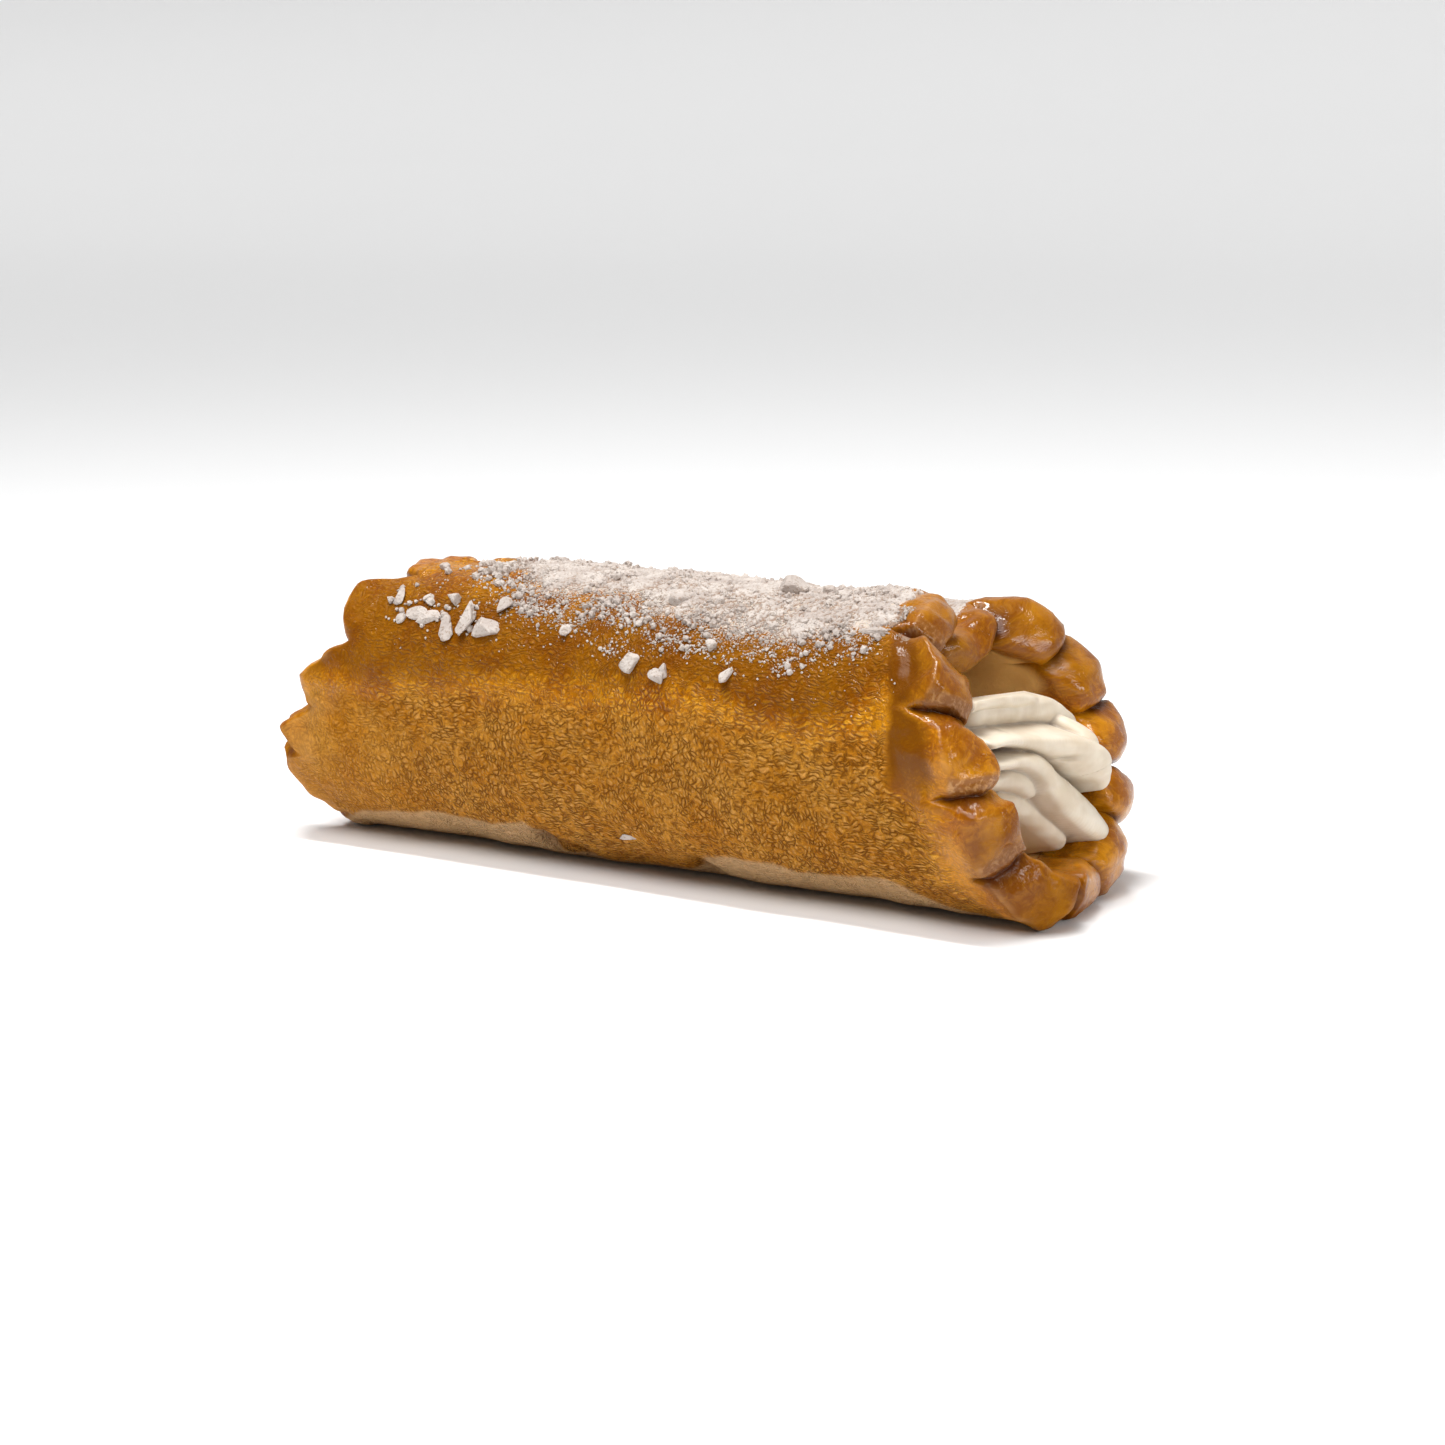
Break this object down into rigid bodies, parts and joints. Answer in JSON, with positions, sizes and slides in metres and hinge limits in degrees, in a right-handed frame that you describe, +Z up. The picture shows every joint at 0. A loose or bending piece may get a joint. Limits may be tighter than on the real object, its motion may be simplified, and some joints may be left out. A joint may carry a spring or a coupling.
{
  "type": "cannoli",
  "caption": "Thick scalloped sheet of golden pastry rolled into a lapped tube, filled with piped cream that shows at both ends and topped with lumps of sugar.",
  "frame": {"origin": "on the table, under the middle of the tube", "axes": "+X along the tube, towards the end whose cream is seen; +Z up; the near side, towards which the upper flap comes down, faces -Y"},
  "size_m": [0.1275, 0.0414, 0.041],
  "materials": {
    "crust": "glazed golden-brown baked pastry",
    "cream": "smooth whipped cream with a satin sheen",
    "sugar": "dry powdered sugar"
  },
  "bodies": {
    "root": {"pastry_crust": "crust", "cream_filling": "cream"}
  },
  "joints": []
}
